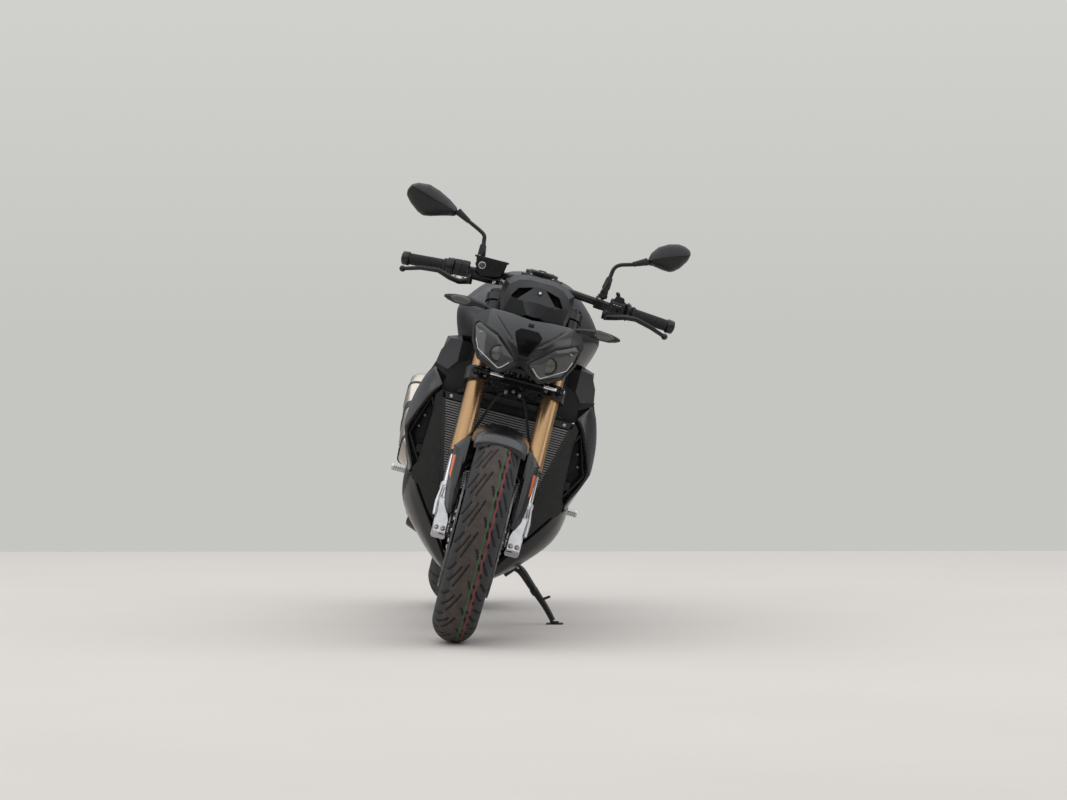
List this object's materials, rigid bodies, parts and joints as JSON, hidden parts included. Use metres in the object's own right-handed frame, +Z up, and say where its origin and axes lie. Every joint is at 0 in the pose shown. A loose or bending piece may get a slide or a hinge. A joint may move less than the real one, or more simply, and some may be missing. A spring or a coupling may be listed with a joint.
{
  "type": "standard motorcycle",
  "caption": "Naked road motorcycle leaning on its side stand, with steering fork, spinning wheels, folding stand, tank, saddle and side silencer.",
  "frame": {"origin": "on the ground at the centre of the bounding box of the parked motorcycle", "axes": "-Y ahead along the machine, +X the rider's left, the side it leans to, +Z up; the machine leans 14.6 degrees about Y onto its side stand"},
  "size_m": [0.8566, 2.0897, 1.2705],
  "materials": {
    "black_satin": "satin black paint on panels",
    "black_frame": "satin black coated metal",
    "black_plastic": "grained matte black plastic",
    "rubber": "soft black rubber",
    "tyre": "road tyre rubber",
    "gold": "gold anodised",
    "chrome": "hard chrome",
    "silver": "machined cast aluminium",
    "steel": "ground steel",
    "engine": "dark coated castings",
    "seat": "black seat cover",
    "titanium": "brushed bronze-toned metal",
    "light": "smoked lens"
  },
  "bodies": {
    "chassis": {"frame": "black_frame", "engine": "engine", "cylinders": "engine", "sump": "engine", "stand_bracket": "black_frame", "radiator": "black_frame", "side_shrouds": "black_satin", "belly_pan": "black_satin", "fuel_tank": "black_satin", "tank_side_panels": "black_satin", "airbox": "black_plastic", "rider_seat": "seat", "passenger_seat": "seat", "tail_fairing": "black_satin", "subframe": "black_frame", "swingarm": "black_frame", "rear_axle": "steel", "pivot_bolt": "steel", "drive_chain": "steel", "shock_absorber": "steel", "rear_caliper": "black_frame", "rear_hugger": "black_plastic", "exhaust_headers": "titanium", "silencer": "titanium", "footrests": "silver", "passenger_footrests": "silver", "plate_holder": "black_plastic", "rear_lights": "light"},
    "steering": {"front_axle": "steel", "fork_bottoms": "silver", "fork_stanchions": "chrome", "fork_tubes": "gold", "front_calipers": "black_frame", "triple_clamps": "black_frame", "front_fender": "black_satin", "handlebar": "black_frame", "grips": "rubber", "switchgear": "black_plastic", "hand_levers": "black_frame", "mirrors": "black_plastic", "headlight": "black_satin", "instrument_cowl": "black_plastic", "front_indicators": "light", "steering_damper": "steel", "brake_hoses": "rubber"},
    "front_wheel": {"front_tyre": "tyre", "front_rim": "black_frame", "front_brake_discs": "steel"},
    "rear_wheel": {"rear_tyre": "tyre", "rear_rim": "black_frame", "rear_brake_disc": "steel", "rear_sprocket": "steel"},
    "side_stand": {"side_stand": "black_frame"}
  },
  "joints": [
    {"name": "steer", "type": "hinge", "parent": "chassis", "child": "steering", "pos_m": [-0.04586, -0.47483, 0.79131], "axis": [0.2299, 0.4092, 0.883], "range_deg": [-27, 27]},
    {"name": "front_wheel_spin", "type": "hinge", "parent": "steering", "child": "front_wheel", "pos_m": [-0.17578, -0.74491, 0.29231], "axis": [0.9677, 0.0002, -0.2521], "continuous": true},
    {"name": "rear_wheel_spin", "type": "hinge", "parent": "chassis", "child": "rear_wheel", "pos_m": [-0.17074, 0.70507, 0.3128], "axis": [0.9677, 0.0002, -0.2521], "continuous": true},
    {"name": "stand_fold", "type": "hinge", "parent": "chassis", "child": "side_stand", "pos_m": [-0.07073, -0.05982, 0.17248], "axis": [0.8221, -0.0937, 0.5616], "range_deg": [0, 103.76]}
  ]
}
